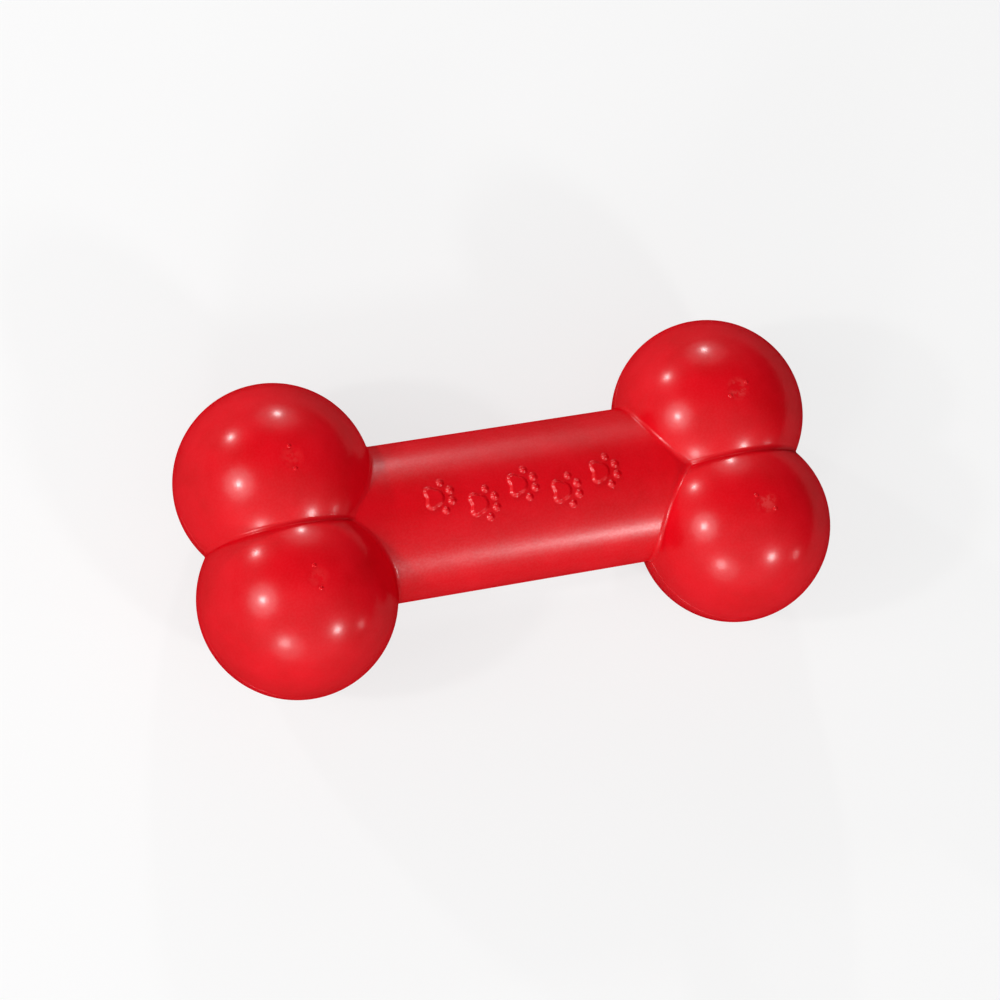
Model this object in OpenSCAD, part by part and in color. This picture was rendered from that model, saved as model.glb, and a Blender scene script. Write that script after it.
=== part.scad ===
// Chew toy in the shape of a bone: two hollow rubber half shells bonded on a flat seam, with a small
// reed squeaker snapped into the underside of the shaft. The bone lies flat on its four knuckles.
// X runs along the bone, Y across a pair of knuckles, Z up, and the origin is on the floor at its middle.

/* [Bone] */
// Overall length, from the knuckles of one end to those of the other
bone_l = 201; // [190:1:220]
// Overall width across a pair of knuckles
bone_w = 96; // [90:1:102]
// Diameter of each round knuckle
knuckle_d = 60; // [58:1:64]
// Width of the shaft between the knuckles
shaft_w = 48.6; // [44:0.2:52]
// Thickness of the shaft from top to bottom
shaft_h = 35.4; // [34:0.2:38]
// Radius of the shaft's rounded long edges
shaft_edge_r = 14.2; // [12:0.1:15]
// Thickness of the rubber wall
wall = 6; // [5:0.5:7]
// Radius of the fillet in the crease between two paired knuckles
crease_r = 1; // [0.8:0.1:2]

/* [Seam] */
// Width of the tongue that locates the two halves
tongue_w = 2; // [1.5:0.1:2.5]
// Height of the tongue above the seam
tongue_h = 1.5; // [1:0.1:2.5]
// Gap for the cement around the tongue
cement_gap = 0.1; // [0.05:0.05:0.2]

/* [Mould marks] */
// Diameter of the flat spot trimmed on each knuckle, which the bone rests on
land_d = 7; // [5:0.5:9]
// Diameter of a vent pip
pip_d = 1.1; // [0.8:0.1:1.5]
// Height of a vent pip above its flat spot
pip_h = 0.35; // [0.2:0.05:0.6]
// Distance between the two vent pips of a knuckle
pip_spread = 7; // [5:0.5:9]

/* [Raised motif] */
// Number of paw prints along the shaft
paw_count = 5; // [3:1:5]
// Size of one paw print
paw_size = 11; // [9:0.5:12]
// Distance from one paw print to the next
paw_pitch = 13.2; // [12.2:0.1:14]
// Sideways step of the prints from the shaft's middle line
paw_step = 2; // [0:0.5:3]
// Height of the prints above the shaft
relief_h = 0.7; // [0.4:0.1:1]

/* [Squeaker seat] */
// Depth of the cap's face below the underside of the shaft
recess_depth = 2.2; // [1.8:0.1:3]
// Thickness of the rubber lip that the squeaker's flanges grip
lip_t = 4; // [3:0.5:5]
// Rubber left around the squeaker's inner flange
seat_margin = 3; // [2:0.5:4]
// Running gap between pressed or snapped pieces
fit_gap = 0.05; // [0.02:0.01:0.1]

/* [Squeaker] */
// Outer diameter of the squeaker's flanges
flange_d = 21; // [20:0.5:23]
// Thickness of a flange
flange_t = 1.6; // [1.2:0.1:2]
// Outer diameter of the cup between its flanges
cup_d = 18; // [17:0.5:19]
// Length of the cup
cup_l = 13; // [12:0.5:14]
// Wall of the cup
cup_wall = 1.4; // [1.3:0.1:1.8]
// Width of the ledge in the cup's mouth that the cap sits on
cap_ledge = 1.1; // [0.8:0.1:1.1]
// Thickness of the cap
cap_t = 1.4; // [1:0.1:2]
// Diameter of the air hole in the cap
vent_d = 2.5; // [1.5:0.1:4]

/* [Reed] */
// Outer diameter of the barrel that carries the reed
barrel_d = 7; // [6:0.2:8]
// Wall of the barrel
barrel_wall = 0.8; // [0.6:0.1:1]
// Length of the barrel
barrel_l = 10; // [8:0.5:10.5]
// Width of the barrel's collar beyond the barrel
collar_lip = 1.2; // [1:0.1:2]
// Thickness of the barrel's collar
collar_t = 1; // [0.8:0.1:1.4]
// Thickness of the reed
reed_t = 0.25; // [0.2:0.05:0.4]
// Width of the reed
reed_w = 3.6; // [3:0.1:4]
// Width of the air channel in the trough
channel_w = 2.4; // [2:0.1:2.8]
// Length of the wedge that clamps the root of the reed
wedge_l = 3; // [2:0.5:4]
// Thickness of the wall that closes the trough's tip
tip_wall = 1; // [0.8:0.1:1.5]

/* [Hidden] */
$fn = 96;

rubber_red = [0.82, 0.07, 0.10];
cup_white = [0.93, 0.92, 0.88];
reed_clear = [0.80, 0.84, 0.86];

// Every cut runs past the face that it opens by this much
overrun = 1;

// Places of the four knuckles
knuckle_r = knuckle_d / 2;
knuckle_x = bone_l / 2 - knuckle_r;
knuckle_y = bone_w / 2 - knuckle_r;
// Height of the seam, which is the middle plane of the bone
seam_z = sqrt(pow(knuckle_r, 2) - pow(land_d / 2, 2));
top_z = 2 * seam_z;

// Arcs that would only touch are drawn this much into each other
arc_bite = 0.05;

// The shaft's section is an oval of two flat flanks and two round edges. A flank's arc would touch a round
// edge that is smaller by the bite
edge_y = shaft_w / 2 - shaft_edge_r;
inner_edge_r = shaft_edge_r - arc_bite;
flank_r = (pow(edge_y, 2) + pow(shaft_h / 2, 2) - pow(inner_edge_r, 2)) / (shaft_h - 2 * inner_edge_r);
flank_z = flank_r - shaft_h / 2;
arc_turn_share = edge_y / (flank_r - inner_edge_r);

// The crease fillet between two paired knuckles is a ring around the line through their centres. The crease
// without it would be a circle of this smaller radius, and the ring reaches further in than that
fillet_rho = sqrt(pow(knuckle_r + crease_r, 2) - pow(knuckle_y, 2));
valley_rho = sqrt(pow(knuckle_r, 2) - pow(knuckle_y, 2));
touch_share = knuckle_r / (knuckle_r + crease_r);

// Heights of the squeaker, from its outer face up
crown_z = seam_z - shaft_h / 2;
face_z = crown_z + recess_depth;
lip_z = face_z + flange_t + fit_gap;
lip_top_z = lip_z + lip_t;
inner_flange_z = lip_top_z + fit_gap;
cup_top_z = face_z + cup_l;
cup_bore_d = cup_d - 2 * cup_wall;
cap_d = cup_bore_d + 2 * cap_ledge;
seat_d = flange_d + 2 * seat_margin;
barrel_top_z = cup_top_z + fit_gap + collar_t;
barrel_z = barrel_top_z - barrel_l;
collar_d = barrel_d + 2 * collar_lip;
bore_d = barrel_d - 2 * barrel_wall;
core_d = bore_d - 2 * fit_gap;

// One paw print, in shares of its size: the pads of the heel and the four toes, each as [x, y, radius]
heel_shares = [[-0.08, 0, 0.27], [-0.22, 0.17, 0.17], [-0.22, -0.17, 0.17]];
toe_shares = [[0.37, 0.15, 0.125], [0.37, -0.15, 0.125], [0.15, 0.39, 0.115], [0.15, -0.39, 0.115]];

// Turn of each knuckle's pair of pips about its pole, and the signs of the knuckle's place
pip_sites = [[-1, 1, -85], [-1, -1, -85], [1, 1, 30], [1, -1, -45]];

// Oval section of the shaft, grown outwards or shrunk inwards. The flanks end inside the round edges
module oval(grow) {
    flank_end_y = edge_y + (inner_edge_r + grow) * arc_turn_share;
    for (side = [-1, 1]) {
        translate([side * edge_y, 0])
            circle(r = shaft_edge_r + grow);
    }
    intersection() {
        translate([0, -flank_z])
            circle(r = flank_r + grow);
        translate([0, flank_z])
            circle(r = flank_r + grow);
        square([2 * flank_end_y, shaft_h + 2 * abs(grow)], center = true);
    }
}

// Shaft from the middle of one pair of knuckles to the other
module shaft(grow) {
    translate([-knuckle_x, 0, seam_z])
        rotate([90, 0, 90])
            linear_extrude(height = 2 * knuckle_x)
                oval(grow);
}

// The four knuckles
module knuckles(grow) {
    for (end = [-1, 1], side = [-1, 1]) {
        translate([end * knuckle_x, side * knuckle_y, seam_z])
            sphere(r = knuckle_r + grow);
    }
}

// Fillet ring in the crease of one pair of knuckles, around the Y direction
module crease_ring() {
    touch = [fillet_rho * touch_share, knuckle_y * (1 - touch_share)];
    rotate([90, 0, 0])
        rotate_extrude() {
            difference() {
                polygon([[valley_rho - crease_r, 0], [touch.x, touch.y], [touch.x, -touch.y]]);
                translate([fillet_rho, 0])
                    circle(r = crease_r + arc_bite);
            }
        }
}

// Outside of the whole bone
module bone_outside() {
    knuckles(0);
    shaft(0);
    for (end = [-1, 1]) {
        translate([end * knuckle_x, 0, seam_z])
            crease_ring();
    }
}

// Hollow inside the bone
module bone_inside() {
    knuckles(-wall);
    shaft(-wall);
}

// Block that holds one half of the bone, from the given height up, flat at the trimmed spots
module half_block(from_z) {
    translate([-bone_l / 2 - overrun, -bone_w / 2 - overrun, from_z])
        cube([bone_l + 2 * overrun, bone_w + 2 * overrun, seam_z]);
}

// Plan of the bone, drawn inwards by the given depth
module plan(inset) {
    for (end = [-1, 1], side = [-1, 1]) {
        translate([end * knuckle_x, side * knuckle_y])
            circle(r = knuckle_r - inset);
    }
    square([2 * knuckle_x, shaft_w - 2 * inset], center = true);
}

// Band that follows the middle of the wall all round the seam
module seam_band(width) {
    difference() {
        plan((wall - width) / 2);
        plan((wall + width) / 2);
    }
}

// One paw print seen from above, toes towards +X
module paw_print() {
    for (pad = concat(heel_shares, toe_shares)) {
        translate([pad[0] * paw_size, pad[1] * paw_size])
            circle(r = pad[2] * paw_size);
    }
}

// Row of raised paw prints on top of the shaft, stepping from side to side
module paw_trail() {
    intersection() {
        shaft(relief_h);
        translate([0, 0, seam_z + shaft_h / 2 - wall / 2])
            linear_extrude(height = wall) {
                for (i = [0 : paw_count - 1]) {
                    translate([(i - (paw_count - 1) / 2) * paw_pitch, (i % 2 == 0 ? 1 : -1) * paw_step])
                        paw_print();
                }
            }
    }
}

// Two vent pips at the top of each knuckle
module vent_pips() {
    for (site = pip_sites, side = [-1, 1]) {
        translate([site[0] * knuckle_x, site[1] * knuckle_y, top_z - wall / 2])
            rotate(site[2])
                translate([side * pip_spread / 2, 0, 0])
                    cylinder(d = pip_d, h = wall / 2 + pip_h);
    }
}

// Half of the barrel's core, on one side of the plane that the reed lies in
module half_core(side, from_y, z0, length) {
    intersection() {
        translate([0, 0, z0])
            cylinder(d = core_d, h = length);
        translate([-barrel_d / 2, side > 0 ? from_y : -from_y - barrel_d, z0 - overrun])
            cube([barrel_d, barrel_d, length + 2 * overrun]);
    }
}

module upper_shell() {
    color(rubber_red)
    difference() {
        union() {
            intersection() {
                bone_outside();
                half_block(seam_z);
            }
            paw_trail();
            vent_pips();
        }
        bone_inside();
        // Groove for the tongue
        translate([0, 0, seam_z - overrun])
            linear_extrude(height = overrun + tongue_h + cement_gap)
                seam_band(tongue_w + 2 * cement_gap);
    }
}

module lower_shell() {
    color(rubber_red)
    difference() {
        union() {
            difference() {
                intersection() {
                    bone_outside();
                    half_block(0);
                }
                bone_inside();
            }
            // Flat lip that the squeaker's flanges grip
            translate([0, 0, lip_z])
                cylinder(d = seat_d, h = lip_t);
            // Tongue
            translate([0, 0, seam_z - tongue_h])
                linear_extrude(height = 2 * tongue_h)
                    seam_band(tongue_w);
        }
        // Room above the lip for the inner flange
        translate([0, 0, lip_top_z])
            cylinder(d = seat_d, h = seam_z - lip_top_z);
        // Bore for the cup
        translate([0, 0, lip_z - overrun])
            cylinder(d = cup_d + 2 * fit_gap, h = lip_t + 2 * overrun);
        // Recess for the outer flange
        cylinder(d = flange_d + 2 * fit_gap, h = lip_z);
    }
}

module squeaker_housing() {
    color(cup_white)
    difference() {
        union() {
            translate([0, 0, face_z])
                cylinder(d = cup_d, h = cup_l);
            translate([0, 0, face_z])
                cylinder(d = flange_d, h = flange_t);
            translate([0, 0, inner_flange_z])
                cylinder(d = flange_d, h = flange_t);
        }
        translate([0, 0, face_z - overrun])
            cylinder(d = cup_bore_d, h = cup_l - cup_wall + overrun);
        // Step that the cap sits in
        translate([0, 0, face_z - overrun])
            cylinder(d = cap_d + 2 * fit_gap, h = cap_t + overrun);
        // Hole for the barrel
        translate([0, 0, cup_top_z - cup_wall - overrun])
            cylinder(d = barrel_d + 2 * fit_gap, h = cup_wall + 2 * overrun);
    }
}

module squeaker_cap() {
    color(cup_white)
    translate([0, 0, face_z])
        difference() {
            cylinder(d = cap_d, h = cap_t);
            translate([0, 0, -overrun])
                cylinder(d = vent_d, h = cap_t + 2 * overrun);
        }
}

module reed_barrel() {
    color(cup_white)
    difference() {
        union() {
            translate([0, 0, barrel_z])
                cylinder(d = barrel_d, h = barrel_l);
            translate([0, 0, barrel_top_z - collar_t])
                cylinder(d = collar_d, h = collar_t);
        }
        translate([0, 0, barrel_z - overrun])
            cylinder(d = bore_d, h = barrel_l + 2 * overrun);
    }
}

// Its air channel is open at the root, where the wedge is, and closed at the tip
module reed_trough() {
    color(cup_white)
    difference() {
        half_core(1, 0, barrel_z, barrel_l);
        translate([0, 0, barrel_z - overrun])
            cylinder(d = channel_w, h = barrel_l - tip_wall + overrun);
    }
}

// Lies on the flat of the trough and reaches halfway over the wall at its tip
module reed() {
    color(reed_clear)
    translate([-reed_w / 2, -reed_t, barrel_z])
        cube([reed_w, reed_t, barrel_l - tip_wall / 2]);
}

module reed_wedge() {
    color(cup_white)
    half_core(-1, reed_t, barrel_z, wedge_l);
}

upper_shell();
lower_shell();
squeaker_housing();
squeaker_cap();
reed_barrel();
reed_trough();
reed();
reed_wedge();
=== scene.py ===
import math

import bpy
import numpy as np
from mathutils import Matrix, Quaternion, Vector


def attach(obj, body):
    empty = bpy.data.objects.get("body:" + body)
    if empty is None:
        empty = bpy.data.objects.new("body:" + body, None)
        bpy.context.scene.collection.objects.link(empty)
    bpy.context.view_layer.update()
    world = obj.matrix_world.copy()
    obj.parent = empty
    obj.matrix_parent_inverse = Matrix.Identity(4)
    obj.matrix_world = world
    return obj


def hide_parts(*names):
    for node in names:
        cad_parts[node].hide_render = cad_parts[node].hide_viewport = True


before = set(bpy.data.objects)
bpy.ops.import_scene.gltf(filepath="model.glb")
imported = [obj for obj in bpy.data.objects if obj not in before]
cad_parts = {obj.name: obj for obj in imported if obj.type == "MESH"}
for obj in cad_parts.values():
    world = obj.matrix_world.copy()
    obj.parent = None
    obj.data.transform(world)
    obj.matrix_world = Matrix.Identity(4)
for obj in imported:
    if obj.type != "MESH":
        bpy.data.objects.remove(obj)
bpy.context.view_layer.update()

# Camera. It looks steeply down on the bone from the front left, turned so that the shaft runs nearly level
# across the picture.
camera_azimuth = math.radians(-56.91)
camera_elevation = math.radians(68.95)
camera_roll = math.radians(45.92)
camera_distance = 0.9046
camera_aim = Vector((-0.00197, 0.00193, 0.02957))
away = Vector((
    math.sin(camera_azimuth) * math.cos(camera_elevation),
    -math.cos(camera_azimuth) * math.cos(camera_elevation),
    math.sin(camera_elevation),
))
bpy.ops.object.select_all(action="DESELECT")
bpy.ops.object.camera_add(location=camera_aim + away * camera_distance)
camera = bpy.context.object
camera.name = "camera"
camera.rotation_mode = "QUATERNION"
camera.rotation_quaternion = (-away).to_track_quat("-Z", "Y") @ Quaternion((0, 0, 1), camera_roll)
camera.data.sensor_width = 36
camera.data.lens = 106.69
bpy.context.scene.camera = camera

# Rubber bone, moulded in two halves: four ball knuckles and an oval shaft, with a soft fillet wherever two
# of them meet. Both halves are made from one blank, which is melted together and pressed to the mould's
# exact surface.
knuckle_r = 0.030
knuckle_x = 0.0705
knuckle_y = 0.018
knuckles = [(end * knuckle_x, side * knuckle_y) for end in (-1, 1) for side in (-1, 1)]
land_r = 0.0035
seam_z = math.sqrt(knuckle_r ** 2 - land_r ** 2)
half_w = 0.0243
half_h = 0.0177
edge_r = 0.0142
edge_y = half_w - edge_r
flank_r = (edge_y ** 2 + half_h ** 2 - edge_r ** 2) / (2 * half_h - 2 * edge_r)
flank_z = flank_r - half_h
crease_r = 0.0010
root_r = 0.0010
voxel = 0.0008
round_sides = 96
slope_step = 1e-6
far_off = 1.0


def rounded(a, b, radius):
    """Distance to two joined shapes, with a fillet in the corner between them."""
    corner = np.hypot(np.maximum(radius - a, 0), np.maximum(radius - b, 0))
    return np.maximum(radius, np.minimum(a, b)) - corner


def knuckle_gaps(p):
    """Distances from points to the rear and the front knuckle of the nearer pair."""
    x, z = np.abs(p[:, 0]) - knuckle_x, p[:, 2] - seam_z
    rear = np.sqrt(x ** 2 + (p[:, 1] - knuckle_y) ** 2 + z ** 2) - knuckle_r
    front = np.sqrt(x ** 2 + (p[:, 1] + knuckle_y) ** 2 + z ** 2) - knuckle_r
    return rear, front


def shaft_gap(p):
    """Distance from points to the shaft, whose oval section is four arcs that meet without a corner."""
    across, up = np.abs(p[:, 1]), np.abs(p[:, 2] - seam_z)
    flank = np.hypot(across, up + flank_z) - flank_r
    edge = np.hypot(across - edge_y, up) - edge_r
    oval = np.where(across * flank_z < edge_y * (up + flank_z), flank, edge)
    return np.maximum(oval, np.abs(p[:, 0]) - knuckle_x)


# Raised motif on the shaft: five paw prints in a row, which step from side to side. Each has a heel of
# three pads and four toes, low domes that rise softly out of the rubber.
paw_count = 5
paw_size = 0.011
paw_pitch = 0.0132
paw_step = 0.002
relief_h = 0.0007
pad_slope = (-0.0011, 0.00015)
pad_blend = 0.0003
motif_half_l = 0.036
motif_half_w = 0.012
heel_shares = [(-0.08, 0, 0.27), (-0.22, 0.17, 0.17), (-0.22, -0.17, 0.17)]
toe_shares = [(0.37, 0.15, 0.125), (0.37, -0.15, 0.125), (0.15, 0.39, 0.115), (0.15, -0.39, 0.115)]
pads = []
for i in range(paw_count):
    paw_x = (i - paw_count // 2) * paw_pitch
    paw_y = paw_step * (-1) ** i
    for x, y, r in heel_shares + toe_shares:
        pads.append((paw_x + x * paw_size, paw_y + y * paw_size, r * paw_size))


def pad_edge(p):
    """Distance from points, seen from above, to the outline of the nearest pad, and far off elsewhere."""
    edge = np.full(len(p), far_off)
    near = (np.abs(p[:, 0]) < motif_half_l) & (np.abs(p[:, 1]) < motif_half_w) & (p[:, 2] > seam_z)
    q = p[near]
    nearest = np.full(len(q), far_off)
    for x, y, r in pads:
        nearest = rounded(nearest, np.hypot(q[:, 0] - x, q[:, 1] - y) - r, pad_blend)
    edge[near] = nearest
    return edge


# Marks of the mould. Each knuckle has a flat spot at its pole, above and below, and above two trimmed vent
# pips stand beside it. The recess for the squeaker and the seam have softened edges.
pip_r = 0.00055
pip_h = 0.00035
pip_slope = (-0.0002, 0.0001)
pip_spread = 0.007
pip_turns = {(-1, 1): -85, (-1, -1): -85, (1, 1): 30, (1, -1): -45}
recess_r = 0.01055
rim_r = 0.0003
seam_soft = 0.00022
pips = []
for (end, side), turn in pip_turns.items():
    for way in (-1, 1):
        reach = way * pip_spread / 2
        pips.append((
            end * knuckle_x + reach * math.cos(math.radians(turn)),
            side * knuckle_y + reach * math.sin(math.radians(turn)),
        ))


def pip_edge(p):
    """Distance from points, seen from above, to the edge of the nearest vent pip."""
    nearest = np.full(len(p), far_off)
    for x, y in pips:
        nearest = np.minimum(nearest, np.hypot(p[:, 0] - x, p[:, 1] - y) - pip_r)
    return np.where(p[:, 2] > seam_z, nearest, far_off)


def pole_distance(p):
    """Distance from points, seen from above, to the middle of the nearest knuckle."""
    return np.hypot(np.abs(p[:, 0]) - knuckle_x, np.abs(p[:, 1]) - knuckle_y)


def recess_edge(p):
    """Distance from points underneath to the wall of the squeaker's recess."""
    return np.where(p[:, 2] < seam_z, np.hypot(p[:, 0], p[:, 1]) - recess_r, far_off)


def rise(edge, inner, outer):
    """Height of a soft step, from 1 inside its inner edge to 0 outside its outer one."""
    t = np.clip((outer - edge) / (outer - inner), 0, 1)
    return t * t * (3 - 2 * t)


def mould(p):
    """Distance from points to the mould's surface, with everything that is raised or cut into it."""
    rear, front = knuckle_gaps(p)
    bare = rounded(rounded(rear, front, crease_r), shaft_gap(p), root_r)
    from_seam = np.abs(p[:, 2] - seam_z)
    flat = np.maximum(bare, from_seam - seam_z)
    raised = relief_h * rise(pad_edge(p), *pad_slope) + pip_h * rise(pip_edge(p), *pip_slope)
    rim = rim_r * np.clip(1 - np.maximum(recess_edge(p), 0) / rim_r, 0, 1) ** 2
    lip = seam_soft * np.clip(1 - from_seam / seam_soft, 0, 1) ** 2
    return flat - raised + rim + lip


def mould_slope(p):
    """Direction in which the distance to the mould's surface grows fastest."""
    slope = np.empty_like(p)
    for axis in range(3):
        shift = np.zeros(3)
        shift[axis] = slope_step
        slope[:, axis] = (mould(p + shift) - mould(p - shift)) / (2 * slope_step)
    return slope


def points_of(mesh):
    """The places of a mesh's vertices, as rows."""
    flat = np.empty(len(mesh.vertices) * 3)
    mesh.vertices.foreach_get("co", flat)
    return flat.reshape(-1, 3)


def press(mesh, rounds, relax=False):
    """Presses every vertex to the mould, and with relax first evens out the spaces between them."""
    p = points_of(mesh)
    ends = np.empty(len(mesh.edges) * 2, np.int64)
    mesh.edges.foreach_get("vertices", ends)
    a, b = ends.reshape(-1, 2).T
    count = np.bincount(ends, minlength=len(p))
    for _ in range(rounds):
        if relax:
            for axis in range(3):
                total = np.bincount(a, p[b, axis], len(p)) + np.bincount(b, p[a, axis], len(p))
                p[:, axis] = total / count
        slope = mould_slope(p)
        p -= mould(p)[:, None] * slope / (slope ** 2).sum(1)[:, None]
    mesh.vertices.foreach_set("co", p.ravel())
    mesh.update()


def pick(piece):
    """Selects one piece alone and makes it the active one."""
    bpy.ops.object.select_all(action="DESELECT")
    piece.select_set(True)
    bpy.context.view_layer.objects.active = piece


def apply_modifier(piece, name):
    """Applies one modifier of a piece."""
    pick(piece)
    bpy.ops.object.modifier_apply(modifier=name)


def near_detail(p, crease, pad, pip, spot, inside, outside):
    """Whether points are within these reaches of the details of the mould."""
    gaps = np.sort(np.array([*knuckle_gaps(p), shaft_gap(p)]), axis=0)
    recess = recess_edge(p)
    return (
        (gaps[1] < crease) | (np.abs(pad_edge(p)) < pad) | (pip_edge(p) < pip)
        | (np.abs(pole_distance(p) - land_r) < spot) | ((recess > -inside) & (recess < outside)))


def refine(piece, reaches):
    """Splits each face in four whose middle is within reach of a detail."""
    mesh = piece.data
    middles = np.empty(len(mesh.polygons) * 3)
    mesh.polygons.foreach_get("center", middles)
    pick(piece)
    bpy.ops.object.mode_set(mode="EDIT")
    bpy.ops.mesh.select_mode(type="FACE")
    bpy.ops.mesh.select_all(action="DESELECT")
    bpy.ops.object.mode_set(mode="OBJECT")
    mesh.polygons.foreach_set("select", near_detail(middles.reshape(-1, 3), *reaches))
    bpy.ops.object.mode_set(mode="EDIT")
    bpy.ops.mesh.subdivide(number_cuts=1)
    bpy.ops.object.mode_set(mode="OBJECT")
    press(mesh, rounds=3)


# Mesh of the blank: an oval cylinder and four balls, melted together.
bpy.ops.object.select_all(action="DESELECT")
bpy.ops.mesh.primitive_cylinder_add(
    vertices=round_sides, radius=1, depth=2 * knuckle_x,
    location=(0, 0, seam_z), rotation=(0, math.pi / 2, 0))
blank = bpy.context.object
blank.name = "bone_blank"
bpy.ops.object.transform_apply(location=False, rotation=True, scale=False)
bpy.ops.object.mode_set(mode="EDIT")
bpy.ops.mesh.select_all(action="SELECT")
bpy.ops.transform.resize(value=(1, half_w, half_h))
bpy.ops.object.mode_set(mode="OBJECT")
balls = []
for x, y in knuckles:
    bpy.ops.mesh.primitive_uv_sphere_add(
        segments=round_sides, ring_count=round_sides // 2, radius=knuckle_r, location=(x, y, seam_z))
    balls.append(bpy.context.object)
for ball in balls:
    ball.select_set(True)
blank.select_set(True)
bpy.context.view_layer.objects.active = blank
bpy.ops.object.join()
bpy.ops.object.transform_apply(location=True, rotation=True, scale=True)
melt = blank.modifiers.new("melt", "REMESH")
melt.mode = "VOXEL"
melt.voxel_size = voxel
apply_modifier(blank, "melt")
press(blank.data, rounds=8, relax=True)

# Reach of each round of splitting: from a crease, a pad's outline, a pip and the edge of a flat spot, and to
# the inside and outside of the recess's wall. A reach of -1 leaves the detail out.
split_reaches = [
    (0.0026, 0.0018, 0.0018, 0.0012, 0.0018, 0.0018),
    (-1, 0.0010, 0.0009, -1, 0.0010, 0.0010),
    (-1, -1, 0.0004, -1, 0.0002, 0.0006),
]
for reaches in split_reaches:
    refine(blank, reaches)
press(blank.data, rounds=6)


# Hollow of the bone, its seam and the seat for the squeaker. The rubber wall is 6 mm thick; a tongue round
# the middle of the lower wall fits a groove in the upper one, and the two are cemented there.
wall = 0.006
tongue_w = 0.002
tongue_h = 0.0015
cement_gap = 0.0001
overrun = 0.001
hollow_sides = 64
seam_rows = (1.2, 0.8, 0.5, 0.25)
knife_snap = 1e-7
seam_snap = 1e-6


def cut(piece, tool, how="DIFFERENCE"):
    """Cuts a tool out of a piece, or joins it on, and deletes the tool."""
    bool_step = piece.modifiers.new("cut", "BOOLEAN")
    bool_step.operation = how
    bool_step.solver = "MANIFOLD"
    bool_step.object = tool
    apply_modifier(piece, "cut")
    bpy.data.objects.remove(tool)


def disc(x, y, radius, low, high, sides=round_sides):
    """A round tool that stands at x, y."""
    bpy.ops.object.select_all(action="DESELECT")
    bpy.ops.mesh.primitive_cylinder_add(
        vertices=sides, radius=radius, depth=high - low, location=(x, y, (low + high) / 2))
    bpy.ops.object.transform_apply(location=True, rotation=True, scale=True)
    return bpy.context.object


def plan(inset, low, high):
    """A tool with the outline of the bone seen from above, drawn in by inset."""
    bpy.ops.object.select_all(action="DESELECT")
    bpy.ops.mesh.primitive_cube_add(size=1, location=(0, 0, (low + high) / 2))
    outline = bpy.context.object
    outline.scale = (2 * knuckle_x, 2 * (half_w - inset), high - low)
    bpy.ops.object.transform_apply(location=True, rotation=True, scale=True)
    for x, y in knuckles:
        cut(outline, disc(x, y, knuckle_r - inset, low, high), "UNION")
    return outline


def seam_band(width, low, high):
    """A tool that follows the middle of the wall all round the seam."""
    band = plan((wall - width) / 2, low, high)
    cut(band, plan((wall + width) / 2, low - overrun, high + overrun))
    return band


def hollow_out(half):
    """Cuts the hollow out of a half, ball by ball, and then along the shaft."""
    for x, y in knuckles:
        bpy.ops.object.select_all(action="DESELECT")
        bpy.ops.mesh.primitive_uv_sphere_add(
            segments=hollow_sides, ring_count=hollow_sides // 2, radius=knuckle_r - wall,
            location=(x, y, seam_z))
        bpy.ops.object.transform_apply(location=True, rotation=True, scale=True)
        cut(half, bpy.context.object)
    bpy.ops.object.select_all(action="DESELECT")
    bpy.ops.mesh.primitive_cylinder_add(
        vertices=hollow_sides, radius=1, depth=2 * knuckle_x,
        location=(0, 0, seam_z), rotation=(0, math.pi / 2, 0))
    core = bpy.context.object
    bpy.ops.object.transform_apply(location=True, rotation=True, scale=False)
    p = points_of(core.data)
    turn = np.arctan2(p[:, 2] - seam_z, p[:, 1])
    y, z = np.cos(turn), np.sin(turn)
    lean = np.abs(y) * flank_z < edge_y * np.abs(z)
    p[:, 1] = np.where(lean, (flank_r - wall) * y, np.sign(y) * edge_y + (edge_r - wall) * y)
    p[:, 2] = seam_z + np.where(lean, (flank_r - wall) * z - np.sign(z) * flank_z, (edge_r - wall) * z)
    core.data.vertices.foreach_set("co", p.ravel())
    cut(half, core)


def half_of_blank(name, way):
    """Half of the blank, above the seam for 1 and below for -1, with fine rows of faces along the seam."""
    half = blank.copy()
    half.data = blank.data.copy()
    half.name = name
    bpy.context.collection.objects.link(half)
    pick(half)
    bpy.ops.object.mode_set(mode="EDIT")
    for share in seam_rows:
        bpy.ops.mesh.select_all(action="SELECT")
        bpy.ops.mesh.bisect(
            plane_co=(0, 0, seam_z + way * share * seam_soft), plane_no=(0, 0, 1), threshold=knife_snap)
    bpy.ops.mesh.select_all(action="SELECT")
    bpy.ops.mesh.bisect(
        plane_co=(0, 0, seam_z), plane_no=(0, 0, -way), threshold=knife_snap,
        use_fill=True, clear_outer=True)
    bpy.ops.object.mode_set(mode="OBJECT")
    at_seam = np.abs(points_of(half.data)[:, 2] - seam_z) < seam_snap
    press(half.data, rounds=5)
    p = points_of(half.data)
    p[at_seam, 2] = seam_z
    half.data.vertices.foreach_set("co", p.ravel())
    return half


upper = half_of_blank("rubber_upper_half", 1)
hollow_out(upper)
cut(upper, seam_band(tongue_w + 2 * cement_gap, seam_z - overrun, seam_z + tongue_h + cement_gap))

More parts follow.
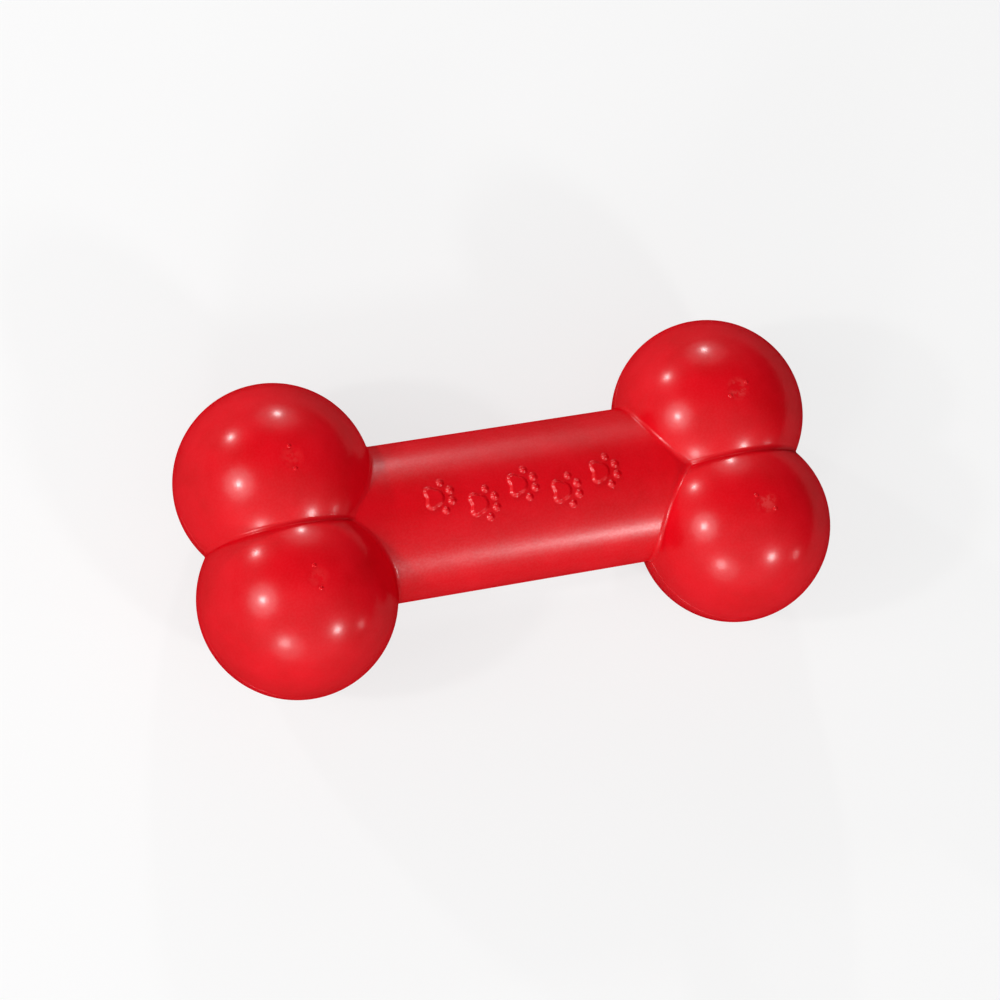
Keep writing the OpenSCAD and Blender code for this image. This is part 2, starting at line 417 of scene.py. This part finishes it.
crown_z = seam_z - half_h
cup_depth = 0.0022
face_z = crown_z + cup_depth
flange_t = 0.0016
fit_gap = 0.00005
lip_z = face_z + flange_t + fit_gap
lip_t = 0.004
lip_top_z = lip_z + lip_t
flange_r = 0.0105
cup_r = 0.009
seat_margin = 0.003
seat_r = flange_r + seat_margin
bore_sides = 128
recess_sides = 192
lower = half_of_blank("rubber_lower_half", -1)
hollow_out(lower)
cut(lower, disc(0, 0, seat_r, lip_z, lip_top_z), "UNION")
cut(lower, seam_band(tongue_w, seam_z - tongue_h, seam_z + tongue_h), "UNION")
cut(lower, disc(0, 0, seat_r, lip_top_z, seam_z))
cut(lower, disc(0, 0, cup_r + fit_gap, lip_z - overrun, lip_top_z + overrun, bore_sides))
cut(lower, disc(0, 0, flange_r + fit_gap, 0, lip_z, recess_sides))
bpy.data.objects.remove(blank)

skin_angle = math.radians(30)
skin_reach = 2e-6
skin_facing = 0.8


def smooth_skin(half):
    """Gives the moulded skin the mould's own normals, and leaves the cut faces flat."""
    mesh = half.data
    pick(half)
    bpy.ops.object.shade_smooth_by_angle(angle=skin_angle)
    p = points_of(mesh)
    slope = mould_slope(p)
    slope /= np.linalg.norm(slope, axis=1)[:, None]
    on_skin = np.abs(mould(p)) < skin_reach
    corner_point = np.empty(len(mesh.loops), np.int64)
    mesh.loops.foreach_get("vertex_index", corner_point)
    sizes = np.empty(len(mesh.polygons), np.int64)
    mesh.polygons.foreach_get("loop_total", sizes)
    face_way = np.empty(len(mesh.polygons) * 3)
    mesh.polygons.foreach_get("normal", face_way)
    corner_way = np.repeat(face_way.reshape(-1, 3), sizes, axis=0)
    corner_skin = on_skin[corner_point] & ((slope[corner_point] * corner_way).sum(1) > skin_facing)
    face_of = np.repeat(np.arange(len(sizes)), sizes)
    whole = np.bincount(face_of, corner_skin, len(sizes)) == sizes
    normals = np.where(whole[face_of][:, None], slope[corner_point], 0.0)
    mesh.normals_split_custom_set(normals.tolist())


for half in (upper, lower):
    smooth_skin(half)

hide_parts("upper_shell")
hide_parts("lower_shell")
for half in (upper, lower):
    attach(half, "root")


# Red rubber, one compound all through, with a faint mottle and orange peel, and a dull scuffed spot at each
# knuckle's pole. Its gloss is a polished coat mixed with a hazy bloom, which is stronger and grainy on the
# satin shaft. Both fade towards the rims, so that the pale floor doesn't whiten them.
class Socket:
    """A socket of the material that is being wired. Sums on it add Math nodes."""

    def __init__(self, tree, out=None):
        self.tree = tree
        self.out = out

    def add(self, kind, settings, sockets, output=0):
        """Adds a node: its settings are set first, then the values or links of its sockets."""
        node = self.tree.nodes.new(kind)
        for name, value in settings.items():
            setattr(node, name, value)
        for name, value in sockets.items():
            if isinstance(value, Socket):
                self.tree.links.new(value.out, node.inputs[name])
            else:
                node.inputs[name].default_value = value
        return Socket(self.tree, node.outputs[output])

    def into(self, node, name):
        """Links this to an input of a node."""
        self.tree.links.new(self.out, node.inputs[name])

    def math(self, operation, *values):
        """A Math node of the given operation on this socket and the values."""
        return self.add("ShaderNodeMath", {"operation": operation}, dict(enumerate([self, *values])))

    def __add__(self, other):
        return self.math("ADD", other)

    __radd__ = __add__

    def __mul__(self, other):
        return self.math("MULTIPLY", other)

    __rmul__ = __mul__

    def __sub__(self, other):
        return self.math("SUBTRACT", other)

    def __rsub__(self, other):
        return self * -1 + other

    def fade(self, inner, outer):
        """From 1 at inner, and beyond it, down to 0 at outer, and beyond that."""
        return self.add("ShaderNodeMapRange", {"interpolation_type": "SMOOTHSTEP"}, {
            "Value": self, "From Min": inner, "From Max": outer, "To Min": 1.0, "To Max": 0.0})

    def noise(self, scale, detail, roughness=0.5):
        """A noise over the place that this gives."""
        return self.add("ShaderNodeTexNoise", {}, {
            "Vector": self, "Scale": scale, "Detail": detail, "Roughness": roughness})

    def ramp(self, stops):
        """A colour that runs through the stops as this grows."""
        shade = self.add("ShaderNodeValToRGB", {}, {"Fac": self})
        elements = shade.out.node.color_ramp.elements
        for _ in stops[2:]:
            elements.new(0.5)
        for element, (value, colour) in zip(elements, stops):
            element.position = value
            element.color = colour
        return shade

    def blend(self, first, second):
        """The first colour where this is 0, and the second where it is 1."""
        return self.add("ShaderNodeMix", {"data_type": "RGBA"}, {"Factor": self, 6: first, 7: second}, 2)

    def cover(self, shader, over):
        """The material's surface: the shader where this is 0, and the one over it where this is 1."""
        under = Socket(self.tree, shader.outputs[0])
        mixed = self.add("ShaderNodeMixShader", {}, {0: self, 1: under, 2: over})
        mixed.into(self.tree.nodes["Material Output"], "Surface")


def new_material(name):
    """A material with a bare Principled shader, and a socket to start wiring from."""
    material = bpy.data.materials.new(name)
    material.use_nodes = True
    shader = material.node_tree.nodes["Principled BSDF"]
    return material, shader, Socket(material.node_tree)


def dress(piece, material):
    """Gives a piece one material alone."""
    piece.data.materials.clear()
    piece.data.materials.append(material)


red_stops = [
    (0.30, (0.68, 0.0015, 0.006, 1)),
    (0.52, (0.75, 0.0023, 0.009, 1)),
    (0.72, (0.80, 0.004, 0.012, 1)),
]
worn_red = (0.80, 0.06, 0.06, 1)
scuff_r = (0.0010, 0.0045)
scuff_edge = (0.56, 0.44)
left_to_right = (-0.01, 0.01)
worn_right = 0.60
worn_less_left = 0.40
rubber_rough = 0.45
rough_smudge = 0.10
coat_weight = 0.95
coat_smudge = 0.30
coat_scuff = 0.25
coat_rough = 0.18
haze_weight = 1.15
haze_smudge = 0.25
haze_grain = 0.30
haze_rough = 0.29
grain_edge = (0.40, 0.60)
haze_share = 0.5
haze_share_shaft = 0.35
shaft_end = (0.042, 0.048)
peel_h = 0.00005
grain_h = 0.00003
shaft_grain_h = 0.00004
scuff_h = 0.00008
red_rubber, shader, wire = new_material("red_rubber")
place = wire.add("ShaderNodeTexCoord", {}, {}, "Object")
x, y = (wire.add("ShaderNodeSeparateXYZ", {}, {"Vector": place}, axis) for axis in "XY")
off_x = x.math("ABSOLUTE") - knuckle_x
off_y = y.math("ABSOLUTE") - knuckle_y
pole = (off_x * off_x + off_y * off_y).math("SQRT")
mottle = place.noise(scale=70.0, detail=4.0, roughness=0.6)
smudge = place.noise(scale=260.0, detail=6.0, roughness=0.7)
grain = place.noise(scale=1500.0, detail=2.0)
peel = place.noise(scale=480.0, detail=1.0)
scuff = pole.fade(*scuff_r) * smudge.fade(*scuff_edge)
worn = worn_right - worn_less_left * x.fade(*left_to_right)
dull = (scuff * worn).blend(mottle.ramp(red_stops), worn_red)
dull.into(shader, "Base Color")
rough = rubber_rough + rough_smudge * smudge
rough.into(shader, "Roughness")
square_on = 1 - wire.add("ShaderNodeLayerWeight", {}, {"Blend": 0.5}, "Facing")
coat = (coat_weight - coat_smudge * smudge - coat_scuff * scuff) * square_on * square_on
coat.into(shader, "Coat Weight")
shader.inputs["Coat Roughness"].default_value = coat_rough
shader.inputs["Specular IOR Level"].default_value = 0.0
shaft = x.math("ABSOLUTE").fade(*shaft_end)
height = peel * peel_h + grain * (grain_h + shaft_grain_h * shaft) + scuff * smudge * scuff_h
bump = wire.add("ShaderNodeBump", {}, {"Height": height, "Distance": 1.0, "Strength": 0.6})
bump.into(shader, "Normal")
haze = (haze_weight - haze_smudge * smudge - haze_grain * grain.fade(*grain_edge)) * square_on * square_on
bloom = wire.add("ShaderNodeBsdfPrincipled", {}, {
    "Base Color": dull, "Roughness": rough, "Specular IOR Level": 0.0,
    "Coat Weight": haze, "Coat Roughness": haze_rough, "Normal": bump})
(haze_share + haze_share_shaft * shaft).cover(shader, bloom)
for half in (upper, lower):
    dress(half, red_rubber)


# Squeaker. A white moulded cup sits in the underside, held by a flange on each side of the rubber lip, and
# a vented cap closes its mouth. Their outer edges are slightly rounded by the mould.
cup_l = 0.013
cup_wall = 0.0014
cap_ledge = 0.0011
cap_t = 0.0014
vent_r = 0.00125
vent_sides = 48
barrel_r = 0.0035
cap_r = cup_r - cup_wall + cap_ledge
cup_top_z = face_z + cup_l
inner_flange_z = lip_top_z + fit_gap
cup_edge_r = 0.00015
cap_edge_r = 0.00012
edge_steps = 3
edge_angle = math.radians(40)
smooth_angle = math.radians(35)
weld = 0.000002


def soften(piece, radius):
    """Rounds a moulded piece's edges and smooths it."""
    bevel = piece.modifiers.new("soften", "BEVEL")
    bevel.width = radius
    bevel.segments = edge_steps
    bevel.limit_method = "ANGLE"
    bevel.angle_limit = edge_angle
    apply_modifier(piece, "soften")
    bpy.ops.object.mode_set(mode="EDIT")
    bpy.ops.mesh.select_all(action="SELECT")
    bpy.ops.mesh.remove_doubles(threshold=weld)
    bpy.ops.object.mode_set(mode="OBJECT")
    bpy.ops.object.shade_smooth_by_angle(angle=smooth_angle)


cup = disc(0, 0, cup_r, face_z + flange_t / 2, cup_top_z)
cup.name = "squeaker_cup"
cut(cup, disc(0, 0, flange_r, face_z, face_z + flange_t), "UNION")
cut(cup, disc(0, 0, flange_r, inner_flange_z, inner_flange_z + flange_t), "UNION")
cut(cup, disc(0, 0, cup_r - cup_wall, face_z - overrun, cup_top_z - cup_wall))
cut(cup, disc(0, 0, cap_r + fit_gap, face_z - overrun, face_z + cap_t))
cut(cup, disc(0, 0, barrel_r + fit_gap, cup_top_z - cup_wall - overrun, cup_top_z + overrun))
soften(cup, cup_edge_r)
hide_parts("squeaker_housing")

cap = disc(0, 0, cap_r, face_z, face_z + cap_t)
cap.name = "squeaker_vent_cap"
cut(cap, disc(0, 0, vent_r, face_z - overrun, face_z + cap_t + overrun, vent_sides))
soften(cap, cap_edge_r)
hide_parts("squeaker_cap")

for piece in (cup, cap):
    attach(piece, "root")

white_stops = [(0.35, (0.80, 0.78, 0.70, 1)), (0.65, (0.88, 0.87, 0.81, 1))]
plastic_rough = 0.36
rough_flow = 0.12
spark_h = 0.00001
white_plastic, shader, wire = new_material("white_plastic")
place = wire.add("ShaderNodeTexCoord", {}, {}, "Object")
flow = place.noise(scale=180.0, detail=3.0)
spark = place.noise(scale=5200.0, detail=2.0)
flow.ramp(white_stops).into(shader, "Base Color")
(plastic_rough + rough_flow * flow).into(shader, "Roughness")
bump = wire.add("ShaderNodeBump", {}, {"Height": spark, "Distance": spark_h, "Strength": 0.5})
bump.into(shader, "Normal")

# Reed, a thin clear strip that the trough, the wedge and the barrel hold at the top of the cup. They can
# only be seen through the vent.
film_stops = [(0.3, (0.55, 0.62, 0.66, 1)), (0.7, (0.68, 0.74, 0.77, 1))]
film_rough = 0.14
rough_drawn = 0.10
reed_film, shader, wire = new_material("reed_film")
place = wire.add("ShaderNodeTexCoord", {}, {}, "Object")
drawn = place.noise(scale=900.0, detail=2.0)
drawn.ramp(film_stops).into(shader, "Base Color")
(film_rough + rough_drawn * drawn).into(shader, "Roughness")

for piece in (cup, cap, *(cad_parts[name] for name in ("reed_barrel", "reed_trough", "reed_wedge"))):
    dress(piece, white_plastic)
dress(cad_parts["reed"], reed_film)

# Floor. A pale sheet that shows white to the camera and in reflections, keeps the bone's soft shadow and
# throws little light back up.
floor_size = 60
bounce_grey = (0.10, 0.10, 0.10, 1)
sheet_white = (0.90, 0.90, 0.90, 1)
glow_share = 0.70
bpy.ops.object.select_all(action="DESELECT")
bpy.ops.mesh.primitive_plane_add(size=floor_size, location=(0, 0, 0))
floor = bpy.context.object
floor.name = "studio_floor"
floor_paint, shader, wire = new_material("floor_paint")
shader.inputs["Roughness"].default_value = 0.9
shader.inputs["Specular IOR Level"].default_value = 0.0
rays = ("Is Camera Ray", "Is Glossy Ray", "Is Transmission Ray")
seen = sum(wire.add("ShaderNodeLightPath", {}, {}, ray) for ray in rays)
seen.blend(bounce_grey, sheet_white).into(shader, "Base Color")
glow = wire.add("ShaderNodeEmission", {}, {"Color": (1, 1, 1, 1), "Strength": 1.0})
(seen * glow_share).cover(shader, glow)
floor.data.materials.append(floor_paint)

# Studio light. Small round lamps make the bright spots on the knuckles and wide soft panels the pale bands
# along the shaft. A plain pale wall in front of the bone lights the rest, and a backdrop that fades upwards
# and to the right shows only to the camera and in reflections.
lamp_distance = 1.2
wall_way = (-0.22, -0.92, 0.34)
room_light = 0.06
wall_most = 0.50
backdrop_most = 0.6
backdrop_up = (0.25, 0.75)
backdrop_right = (0.35, 0.85)
# Each lamp's name, the way to it from the bone, its width and its power.
lamps = [
    ("lamp_rear", (0.132, 0.934, 0.332), 0.065, 3.4),
    ("lamp_rear_left", (-0.613, 0.732, 0.297), 0.075, 3.0),
    ("panel_rear", (0.12, 0.91, 0.38), 0.75, 1.6),
    ("lamp_left", (-0.807, -0.041, 0.589), 0.085, 3.0),
    ("panel_left", (-0.807, -0.041, 0.589), 0.70, 3.6),
    ("lamp_front", (0.391, -0.753, 0.529), 0.14, 3.4),
    ("lamp_front_right", (0.772, -0.598, 0.215), 0.12, 0.6),
    ("lamp_front_left", (-0.509, -0.782, 0.360), 0.20, 2.0),
    ("panel_front_left", (-0.45, -0.84, 0.30), 0.65, 1.7),
]
for name, way, size, power in lamps:
    way = Vector(way).normalized()
    bpy.ops.object.light_add(type="AREA", location=Vector((0, 0, seam_z)) + way * lamp_distance)
    lamp = bpy.context.object
    lamp.name = name
    lamp.rotation_mode = "QUATERNION"
    lamp.rotation_quaternion = way.to_track_quat("Z", "Y")
    lamp.data.shape = "DISK"
    lamp.data.size = size
    lamp.data.energy = power
world = bpy.data.worlds.new("studio_air")
bpy.context.scene.world = world
world.use_nodes = True
air = world.node_tree.nodes["Background"]
wire = Socket(world.node_tree)
facing = wire.add("ShaderNodeTexCoord", {}, {}, "Generated")
to_wall = wire.add("ShaderNodeVectorMath", {"operation": "DOT_PRODUCT"}, {0: facing, 1: wall_way}, "Value")
wall_light = room_light + wall_most * (1 - to_wall.fade(0.0, 1.0))
rightward, upward = (wire.add("ShaderNodeSeparateXYZ", {}, {"Vector": facing}, axis) for axis in "XZ")
seen = sum(wire.add("ShaderNodeLightPath", {}, {}, ray) for ray in rays)
backdrop = backdrop_most * upward.fade(*backdrop_up) * rightward.fade(*backdrop_right)
(wall_light + seen * backdrop).into(air, "Strength")
air.inputs["Color"].default_value = (1, 1, 1, 1)

bpy.context.scene.view_settings.view_transform = "Standard"
